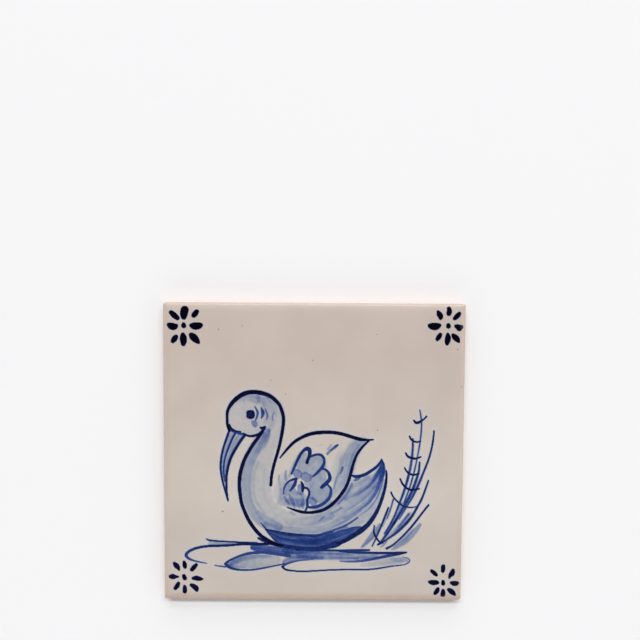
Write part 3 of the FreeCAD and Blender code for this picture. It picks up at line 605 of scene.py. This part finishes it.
class Stroke:
    """One pull of the brush: a smooth path with a width and an amount of paint at each point."""

    # Points along each span of the path, and places worked out at one time.
    SPAN_STEPS = 6
    CHUNK = 4000
    # In millimetres: the least half width, the spacing of the bristles, the length of their marks
    # and of the edge's wobble, and where the paint gathered at the edge thins out.
    LEAST_HALF = 0.1
    LANE = 0.5
    STREAK_LENGTH = 11.0
    WOBBLE_LENGTH = 1.5
    POOL_FULL = 0.1
    POOL_ENDS = 0.6
    # As shares of the half width: the edge's wobble, and the softest edge.
    WOBBLE = 0.06
    SOFTEST = 1.2

    def __init__(self, number, brush, paint_start, paint_end, *knots):
        self.brush = BRUSHES[brush]
        self.kind = brush
        knots = np.array(knots, float)
        track = np.c_[on_tile(knots[:, :2]), knots[:, 2] * PIXEL / 2]
        padded = np.vstack([2 * track[0] - track[1], track, 2 * track[-1] - track[-2]])
        share = np.arange(self.SPAN_STEPS)[:, None] / self.SPAN_STEPS
        spans = []
        for p0, p1, p2, p3 in zip(padded, padded[1:], padded[2:], padded[3:]):
            bend = 2 * p0 - 5 * p1 + 4 * p2 - p3
            twist = 3 * p1 - p0 - 3 * p2 + p3
            spans.append(p1 + share / 2 * (p2 - p0 + share * (bend + share * twist)))
        samples = np.vstack(spans + [track[-1:]])
        self.path = samples[:, :2]
        runs = np.linalg.norm(np.diff(self.path, axis=0), axis=1)
        self.length = np.concatenate([[0], np.cumsum(runs)])
        self.paint = np.interp(self.length, [0, self.length[-1]], [paint_start, paint_end])
        random = np.random.default_rng(number)
        wobble_at = np.arange(0, self.length[-1] + 2 * self.WOBBLE_LENGTH, self.WOBBLE_LENGTH)
        wobbles = random.uniform(-self.WOBBLE, self.WOBBLE, len(wobble_at))
        wobble = np.interp(self.length, wobble_at, wobbles)
        self.half = np.maximum(samples[:, 2], self.LEAST_HALF) * (1 + wobble)
        self.half += self.brush.bleed
        lanes = max(2, int(2 * self.half.max() / self.LANE)) + 2
        rows = int(self.length[-1] / self.STREAK_LENGTH) + 3
        self.bristles = random.random((rows, lanes))

    def laid(self, places):
        """How much paint the stroke leaves at each of some places on the face."""
        amount = np.zeros(len(places))
        reach = self.half.max() + max(self.brush.soft, HALO_REACH)
        low = self.path.min(axis=0) - reach
        high = self.path.max(axis=0) + reach
        near = np.flatnonzero(((places > low) & (places < high)).all(axis=1))
        for start in range(0, len(near), self.CHUNK):
            part = near[start : start + self.CHUNK]
            amount[part] = self._laid_near(places[part])
        return amount

    def _laid_near(self, places):
        """How much paint the stroke leaves at each of some places close to it."""
        run = np.diff(self.path, axis=0)
        from_start = places[:, None] - self.path[:-1]
        share = np.clip((from_start * run).sum(axis=2) / (run * run).sum(axis=1), 0, 1)
        apart = from_start - share[..., None] * run
        distance = np.linalg.norm(apart, axis=2)
        half = self.half[:-1] + share * np.diff(self.half)
        nearest = np.argmin(distance - half, axis=1)
        row = np.arange(len(places))
        share = share[row, nearest]
        distance = distance[row, nearest]
        half = half[row, nearest]
        run = run[nearest]
        apart = apart[row, nearest]
        along = self.length[nearest] + share * np.diff(self.length)[nearest]
        paint = self.paint[nearest] + share * np.diff(self.paint)[nearest]
        side = np.sign(run[:, 0] * apart[:, 1] - run[:, 1] * apart[:, 0])
        inside = half - distance
        soft = min(self.brush.soft, self.SOFTEST * self.half.max())
        cover = smoothstep(-soft / 2, soft / 2, inside)
        pool = self.brush.pool * (1 - smoothstep(self.POOL_FULL, self.POOL_ENDS, inside))
        streak = self.brush.streak * (2 * self._bristle(along, side * distance / half) - 1)
        laid = paint * cover * (1 - self.brush.pool / 2 + pool + streak)
        if self.kind not in HALO_BRUSHES:
            return laid
        return np.maximum(laid, HALO_PAINT * (1 - smoothstep(0, HALO_REACH, -inside)))

    def _bristle(self, along, across):
        """The bristles' share of paint, smooth along the stroke and quick across it."""
        lanes = self.bristles.shape[1]
        return between(self.bristles, along / self.STREAK_LENGTH, (across * 0.5 + 0.5) * (lanes - 1))


def paint_at(strokes, places):
    """The paint on the face at some places. Full strokes cover, and thin ones show less under them."""
    layers = {kind: np.zeros(len(places)) for kind in BRUSHES}
    for stroke in strokes:
        laid = stroke.laid(places)
        if stroke.brush.builds:
            layers[stroke.kind] += laid
        else:
            layers[stroke.kind] = np.maximum(layers[stroke.kind], laid)
    across = int(2 * HALF_SIDE / CLOUD_SIZE) + 2
    table = np.random.default_rng(len(STROKES)).uniform(-1, 1, (across, across))
    cloud = between(table, *((places + HALF_SIDE) / CLOUD_SIZE).T)
    layers = {kind: layer * (1 + BRUSHES[kind].cloud * cloud) for kind, layer in layers.items()}
    full = np.max([layers[kind] for kind in FULL_BRUSHES], axis=0)
    thin = sum(layer for kind, layer in layers.items() if kind not in FULL_BRUSHES)
    return np.minimum(full + thin * np.exp(-full / DIMMING_PAINT), MOST_PAINT)


def speck_at(places):
    """The dark specks in the glaze, 0 to 1."""
    amount = np.zeros(len(places))
    spots = np.array(SPECKS)
    for centre, width in zip(on_tile(spots[:, :2]), spots[:, 2] * PIXEL):
        distance = np.linalg.norm(places - centre, axis=1)
        amount = np.maximum(amount, 1 - smoothstep(SPECK_CORE * width, SPECK_ENDS * width, distance))
    return amount


def drop_at(distance):
    """How far the cushion has dropped at a distance in from the side."""
    into = np.clip(CUSHION_WIDTH - distance, 0, CUSHION_WIDTH)
    return CUSHION_RADIUS - np.sqrt(CUSHION_RADIUS**2 - into**2)


def face_height(places):
    """The height of the glazed face, with the two cushions blended where they meet at a corner."""
    drops = drop_at(HALF_SIDE - np.abs(places))
    return FACE_LEVEL - (drops**CORNER_BLEND).sum(axis=1) ** (1 / CORNER_BLEND)


def ring(inset):
    """Points round a square with rounded corners, anticlockwise from the left of the bottom side."""
    reach = HALF_SIDE - inset
    centre = reach - CORNER_RADIUS
    straight = np.linspace(-centre, centre, RING_STEPS + 1)
    turn = np.linspace(0, math.pi / 2, CORNER_STEPS + 1)[1:-1]
    corner = np.c_[centre + CORNER_RADIUS * np.sin(turn), -centre - CORNER_RADIUS * np.cos(turn)]
    sides = [np.vstack([np.c_[straight, np.full(len(straight), -reach)], corner])]
    quarter_turn = np.array([[0, 1], [-1, 0]])
    for _ in range(3):
        sides.append(sides[-1] @ quarter_turn)
    return np.vstack(sides)


class MeshParts:
    """Points, faces and the faces' places on the bake's map, which grow region by region."""

    def __init__(self):
        self.points = np.zeros((0, 3))
        self.faces = []
        self.map = []

    def add_points(self, flat, level):
        first = len(self.points)
        self.points = np.vstack([self.points, np.c_[flat, np.broadcast_to(level, len(flat))]])
        return first

    def add_face(self, corners, places):
        self.faces.append(tuple(corners))
        self.map += list(places)


def triangulate(points, loops):
    """Triangles of a flat patch of points that the first loop bounds. The other loops are holes."""
    edges = [(a, b) for loop in loops for a, b in zip(loop, loop[1:] + loop[:1])]
    flat = [Vector(point) for point in points]
    cut = delaunay_2d_cdt(flat, edges, loops, CUT_INSIDE, CUT_NEAR)
    _, _, triangles, sources, _, insides = cut
    number = [source[0] for source in sources]
    kept = [face for face, inside in zip(triangles, insides) if list(inside) == [0]]
    return [tuple(number[corner] for corner in face) for face in kept]


def spread(values, reach):
    """How far a grid's values range within some steps of each place."""
    high = values
    low = values
    for axis in (0, 1):
        shifts = range(-reach, reach + 1)
        high = np.max([np.roll(high, shift, axis) for shift in shifts], axis=0)
        low = np.min([np.roll(low, shift, axis) for shift in shifts], axis=0)
    return high - low


def face_net(strokes):
    """Places on the face: close together where the paint changes, and wide apart on bare glaze."""
    most = int((FACE_REACH - NET_PITCH / 2) / NET_PITCH)
    step = np.arange(-most, most + 1)
    across, up = np.meshgrid(step * NET_PITCH, step * NET_PITCH)
    places = np.c_[across.ravel(), up.ravel()]
    look = np.exp(-paint_at(strokes, places) / DIMMING_PAINT) - SPECK_LOOK * speck_at(places)
    look = look.reshape(across.shape)
    wide = step % NET_COARSE == 0
    kept = wide & wide[:, None]
    for stride, least in NET_LEVELS:
        on = step % stride == 0
        kept |= on & on[:, None] & (spread(look, stride) > least)
    rolled = HALF_SIDE - np.abs(step * NET_PITCH) < CUSHION_WIDTH + NET_MARGIN
    row = (step % NET_CUSHION == 0) & rolled
    kept |= row & wide[:, None]
    kept |= wide & row[:, None]
    kept |= row & row[:, None]
    return places[kept.ravel()]


def add_face(parts, strokes):
    """The glazed face, up to where the cushion meets the nose."""
    outline = ring(HALF_SIDE - FACE_REACH)
    places = np.vstack([outline, face_net(strokes)])
    inside = np.abs(places).max(axis=1) < FACE_REACH - NET_PITCH / 2
    corner = np.abs(places) - (FACE_REACH - CORNER_RADIUS)
    inside &= np.linalg.norm(np.maximum(corner, 0), axis=1) < CORNER_RADIUS - NET_PITCH / 2
    inside[: len(outline)] = True
    places = places[inside]
    first = parts.add_points(places, face_height(places))
    on_map = MAP_MARGIN + (places / (2 * HALF_SIDE) + 0.5) * FACE_ON_MAP
    for face in triangulate(places, [list(range(len(outline)))]):
        parts.add_face([first + corner for corner in face], on_map[list(face)])
    return first


def add_rim(parts, above):
    """The nose, the side and the slant of the back, as rings that follow the face's outline."""
    turns = np.linspace(NOSE_ANGLE, math.pi / 2, NOSE_STEPS + 1)
    rings = [
        (NOSE_RADIUS * (1 - math.sin(turn)), NOSE_LEVEL + NOSE_RADIUS * math.cos(turn)) for turn in turns
    ]
    rings += [(0, level) for level in np.linspace(NOSE_LEVEL, BACK_BEVEL, SIDE_STEPS + 1)[1:]]
    rings.append((BACK_BEVEL, 0))
    down = np.concatenate([[0], np.cumsum(np.linalg.norm(np.diff(np.array(rings), axis=0), axis=1))])
    depth = down / down[-1] * STRIP_ON_MAP
    around = len(ring(0))
    quarter = around // 4
    for level, (inset, height) in enumerate(rings[1:]):
        below = parts.add_points(ring(inset), height)
        for step in range(around):
            after = (step + 1) % around
            left = 2 * MAP_MARGIN + FACE_ON_MAP + step // quarter * (STRIP_ON_MAP + MAP_MARGIN / 2)
            start = MAP_MARGIN + step % quarter / quarter * FACE_ON_MAP
            end = start + FACE_ON_MAP / quarter
            near = left + depth[level]
            far = left + depth[level + 1]
            corners = [above + step, below + step, below + after, above + after]
            parts.add_face(corners, [(near, start), (far, start), (far, end), (near, end)])
        above = below
    return above


def add_back(parts, rim_last):
    """The back: ribs level with the floor, and the drafted cells between them."""
    pitch = (2 * (HALF_SIDE - KEY_BORDER) + KEY_RIB) / KEY_COUNT
    cell = pitch - KEY_RIB
    inset = KEY_DEPTH * math.tan(KEY_DRAFT)
    starts = [KEY_BORDER - HALF_SIDE + pitch * step for step in range(KEY_COUNT)]
    unit = np.array([(0, 0), (1, 0), (1, 1), (0, 1)])
    mouths = [np.array((x, y)) + cell * unit for x in starts for y in starts]
    floors = [np.array((x, y)) + inset + (cell - 2 * inset) * unit for x in starts for y in starts]
    outline = ring(BACK_BEVEL)
    flat = np.vstack([outline] + mouths)
    loops = [list(range(len(outline)))]
    loops += [list(range(len(outline) + 4 * n, len(outline) + 4 * n + 4)) for n in range(len(mouths))]
    first = parts.add_points(np.vstack(mouths), 0)
    floor_first = parts.add_points(np.vstack(floors), KEY_DEPTH)
    faces = []
    for face in triangulate(flat, loops):
        numbers = [rim_last + c if c < len(outline) else first + c - len(outline) for c in face]
        faces.append(numbers[::-1])
    for n in range(len(mouths)):
        mouth = [first + 4 * n + corner for corner in range(4)]
        floor = [floor_first + 4 * n + corner for corner in range(4)]
        faces.append(floor[::-1])
        for corner in range(4):
            after = (corner + 1) % 4
            faces.append([mouth[after], mouth[corner], floor[corner], floor[after]])
    share = parts.points[:, :2] / (2 * HALF_SIDE) + 0.5
    on_map = share * BACK_ON_MAP + np.array((MAP_MARGIN, 2 * MAP_MARGIN + FACE_ON_MAP))
    for face in faces:
        parts.add_face(face, on_map[face])


def add_object(name, data):
    """A new object in the scene."""
    made = bpy.data.objects.new(name, data)
    bpy.context.scene.collection.objects.link(made)
    return made


def make_tile():
    """The tile as one closed mesh, with the paint, the specks and the thin glaze, which is partly painted
    shade, as point values.
    """
    strokes = [Stroke(number, *stroke) for number, stroke in enumerate(STROKES)]
    parts = MeshParts()
    face_first = add_face(parts, strokes)
    face_last = len(parts.points)
    rim_last = add_rim(parts, face_first)
    add_back(parts, rim_last)
    mesh = bpy.data.meshes.new("painted_tile")
    mesh.from_pydata((parts.points * MM).tolist(), [], parts.faces)
    places = parts.points[:face_last, :2]
    paint = np.zeros(len(parts.points))
    paint[:face_last] = paint_at(strokes, places)
    speck = np.zeros(len(parts.points))
    speck[:face_last] = speck_at(places)
    # The thin glaze along the rolled edge, partly painted shade: its tan is laid on most along the bottom
    # side and least along the top.
    thin = np.zeros(len(parts.points))
    for out, most in THIN_AND_SHADE_SIDES:
        from_side = HALF_SIDE - parts.points[:, :2] @ np.array(out)
        thin = np.maximum(thin, most * (1 - smoothstep(THIN_FROM, THIN_TO, from_side)))
    thin *= 1 - smoothstep(0, THIN_HIDDEN_BY, paint)
    for name, values in (("paint", paint), ("speck", speck), ("thin", thin)):
        attribute = mesh.attributes.new(name, "FLOAT", "POINT")
        attribute.data.foreach_set("value", values.astype(np.float32))
    bake_map = mesh.uv_layers.new(name="OFBake")
    bake_map.uv.foreach_set("vector", np.array(parts.map, np.float32).ravel())
    mesh.polygons.foreach_set("use_smooth", np.ones(len(mesh.polygons), bool))
    mesh.set_sharp_from_angle(angle=SHARP_ANGLE)
    mesh.update()
    return add_object("painted_tile", mesh)


def set_stops(ramp_node, stops):
    """Gives a colour ramp its stops: their positions and linear colours."""
    elements = ramp_node.color_ramp.elements
    while len(elements) < len(stops):
        elements.new(0.5)
    for element, (position, colour) in zip(elements, stops):
        element.position = position
        element.color = (*colour, 1)


class Nodes:
    """A material's node tree, with short calls that add a node and give back its output."""

    def __init__(self, name):
        self.material = bpy.data.materials.new(name)
        self.material.use_nodes = True
        self.tree = self.material.node_tree
        self.shader = self.tree.nodes["Principled BSDF"]
        self.place = self.add("TexCoord").outputs["Object"]

    def add(self, kind):
        return self.tree.nodes.new("ShaderNode" + kind)

    def feed(self, socket, value):
        if isinstance(value, bpy.types.NodeSocket):
            self.tree.links.new(value, socket)
        else:
            socket.default_value = value

    def math(self, operation, *values):
        node = self.add("Math")
        node.operation = operation
        for socket, value in zip(node.inputs, values):
            self.feed(socket, value)
        return node.outputs[0]

    def ranged(self, value, low, high, to_low, to_high):
        node = self.add("MapRange")
        node.interpolation_type = "SMOOTHSTEP"
        for socket, given in zip(node.inputs, (value, low, high, to_low, to_high)):
            self.feed(socket, given)
        return node.outputs[0]

    def noise(self, scale, detail, roughness):
        node = self.add("TexNoise")
        self.feed(node.inputs["Vector"], self.place)
        node.inputs["Scale"].default_value = scale
        node.inputs["Detail"].default_value = detail
        node.inputs["Roughness"].default_value = roughness
        return node.outputs["Fac"]

    def attribute(self, name):
        node = self.add("Attribute")
        node.attribute_name = name
        return node.outputs["Fac"]

    def ramp(self, share, stops):
        node = self.add("ValToRGB")
        set_stops(node, [(position, linear(colour)) for position, colour in stops])
        self.feed(node.inputs["Fac"], share)
        return node.outputs["Color"]

    def mix(self, share, first, second, blend="MIX"):
        # A mix node's sockets for colours come after those for numbers and for directions.
        node = self.add("Mix")
        node.data_type = "RGBA"
        node.blend_type = blend
        self.feed(node.inputs[0], share)
        self.feed(node.inputs[6], first)
        self.feed(node.inputs[7], second)
        return node.outputs[2]

    def bump(self, height, distance, normal=None):
        node = self.add("Bump")
        node.inputs["Distance"].default_value = distance
        self.feed(node.inputs["Height"], height)
        if normal:
            self.feed(node.inputs["Normal"], normal)
        return node.outputs["Normal"]


def glaze_material():
    """Paint sunk in a glossy glaze that thins along the rolled edge, and bare clay below it. The glaze's
    colour carries painted shade: it is darker towards the top of the face, and its tan is darkest along
    the bottom side.
    """
    nodes = Nodes("painted_glaze")
    grain = nodes.ranged(nodes.noise(*PAINT_GRAIN), NOISE_LOW, NOISE_HIGH, *GRAIN_RANGE)
    paint = nodes.math("MULTIPLY", nodes.attribute("paint"), grain)
    stops = [(amount / MOST_PAINT, colour) for amount, colour in PAINT_COLOURS]
    glaze = nodes.ramp(nodes.math("DIVIDE", paint, MOST_PAINT), stops)
    mottle = nodes.ramp(nodes.noise(*GLAZE_MOTTLE), MOTTLE_COLOURS)
    glaze = nodes.mix(1.0, glaze, mottle, "MULTIPLY")
    split = nodes.add("SeparateXYZ")
    nodes.feed(split.inputs[0], nodes.place)
    # Painted shade: the glaze is multiplied darker towards the top of the face and a little at its bottom.
    up = nodes.ranged(split.outputs["Y"], -HALF_SIDE * MM, HALF_SIDE * MM, 0, 1)
    glaze = nodes.mix(1.0, glaze, nodes.ramp(up, GLAZE_PAINTED_SHADE), "MULTIPLY")
    # The thin glaze's tan along the rolled edge, partly painted shade: it is darkest along the bottom
    # side.
    patches = nodes.ranged(nodes.noise(*THIN_PATCHES), NOISE_LOW, NOISE_HIGH, *THIN_RANGE)
    thin = nodes.math("MULTIPLY", nodes.attribute("thin"), patches)
    glaze = nodes.mix(thin, glaze, (*linear(THIN_GLAZE_AND_SHADE), 1))
    glaze = nodes.mix(nodes.attribute("speck"), glaze, (*linear(SPECK), 1))

    clay = nodes.ramp(nodes.noise(*CLAY_GRAIN), CLAY_COLOURS)
    wave = nodes.ranged(nodes.noise(*GLAZE_LINE), NOISE_LOW, NOISE_HIGH, -LINE_WANDERS, LINE_WANDERS)
    level = nodes.math("ADD", split.outputs["Z"], wave)
    bare = nodes.ranged(level, GLAZE_STOPS - LINE_SOFT, GLAZE_STOPS + LINE_SOFT, 1, 0)
    roughness = nodes.ranged(bare, 0, 1, GLAZE_ROUGHNESS, CLAY_ROUGHNESS)
    ripples = nodes.bump(nodes.noise(*GLAZE_RIPPLES), RIPPLE_HEIGHT)
    pores = nodes.math("MULTIPLY", nodes.noise(*CLAY_PORES), bare)
    nodes.feed(nodes.shader.inputs["Base Color"], nodes.mix(bare, glaze, clay))
    nodes.feed(nodes.shader.inputs["Roughness"], roughness)
    nodes.feed(nodes.shader.inputs["Normal"], nodes.bump(pores, PORE_DEPTH, ripples))
    return nodes.material


def add_camera():
    """A camera that sees the tile's corners where the photograph has them."""
    focal = LENS_MM / SENSOR_MM * PHOTO_SIDE
    centre = PHOTO_SIDE / 2
    lens = np.array([[focal, 0, centre], [0, focal, centre], [0, 0, 1]])
    columns = (np.linalg.inv(lens) @ np.linalg.inv(PHOTO_TO_TILE)).T
    length = (np.linalg.norm(columns[0]) + np.linalg.norm(columns[1])) / 2
    right, up, shift = columns / length * np.sign(columns[2][2])
    first, _, last = np.linalg.svd(np.array([right, up, np.cross(right, up)]).T)
    turn = first @ last
    place = (np.array([0, 0, FACE_LEVEL]) - turn.T @ shift) * MM
    basis = turn.T @ np.diag([1, -1, -1])
    data = bpy.data.cameras.new("camera")
    data.lens = LENS_MM
    data.sensor_width = SENSOR_MM
    data.clip_start = NEAREST_SEEN
    camera = add_object("camera", data)
    camera.matrix_world = Matrix.Translation(place) @ Matrix(basis.tolist()).to_4x4()
    bpy.context.scene.camera = camera


def add_floor():
    """A plain pale floor, which isn't part of the object."""
    corners = [(FLOOR_REACH * x, FLOOR_REACH * y, 0) for x, y in ((-1, -1), (1, -1), (1, 1), (-1, 1))]
    mesh = bpy.data.meshes.new("floor")
    mesh.from_pydata(corners, [], [(0, 1, 2, 3)])
    nodes = Nodes("pale_floor")
    nodes.shader.inputs["Base Color"].default_value = FLOOR_COLOUR
    nodes.shader.inputs["Roughness"].default_value = FLOOR_ROUGHNESS
    nodes.shader.inputs["Specular IOR Level"].default_value = FLOOR_SPECULAR
    mesh.materials.append(nodes.material)
    floor = add_object("floor", mesh)


def add_light(name, place, wide, deep, power, mirrored):
    """A soft light panel that looks at the tile, with or without an image of it in the glaze."""
    data = bpy.data.lights.new(name, "AREA")
    data.shape = "RECTANGLE"
    data.size = wide
    data.size_y = deep
    data.energy = power
    light = add_object(name, data)
    light.location = place
    light.rotation_euler = (-Vector(place)).to_track_quat("-Z", "Y").to_euler()
    light.visible_glossy = mirrored


def add_world():
    """Studio walls: pale near the floor and dim overhead, so that the glaze mirrors little of them."""
    world = bpy.data.worlds.new("studio")
    world.use_nodes = True
    tree = world.node_tree
    direction = tree.nodes.new("ShaderNodeTexCoord").outputs["Generated"]
    split = tree.nodes.new("ShaderNodeSeparateXYZ")
    ramp = tree.nodes.new("ShaderNodeValToRGB")
    set_stops(ramp, [(height, (amount, amount, amount)) for height, amount in WALLS])
    tree.links.new(direction, split.inputs[0])
    tree.links.new(split.outputs["Z"], ramp.inputs["Fac"])
    tree.links.new(ramp.outputs["Color"], tree.nodes["Background"].inputs["Color"])
    bpy.context.scene.world = world


tile = make_tile()
tile.data.materials.append(glaze_material())
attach(tile, "root")
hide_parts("tile")
add_floor()
for panel in LIGHTS:
    add_light(*panel)
add_world()
add_camera()
bpy.context.scene.view_settings.view_transform = "Standard"
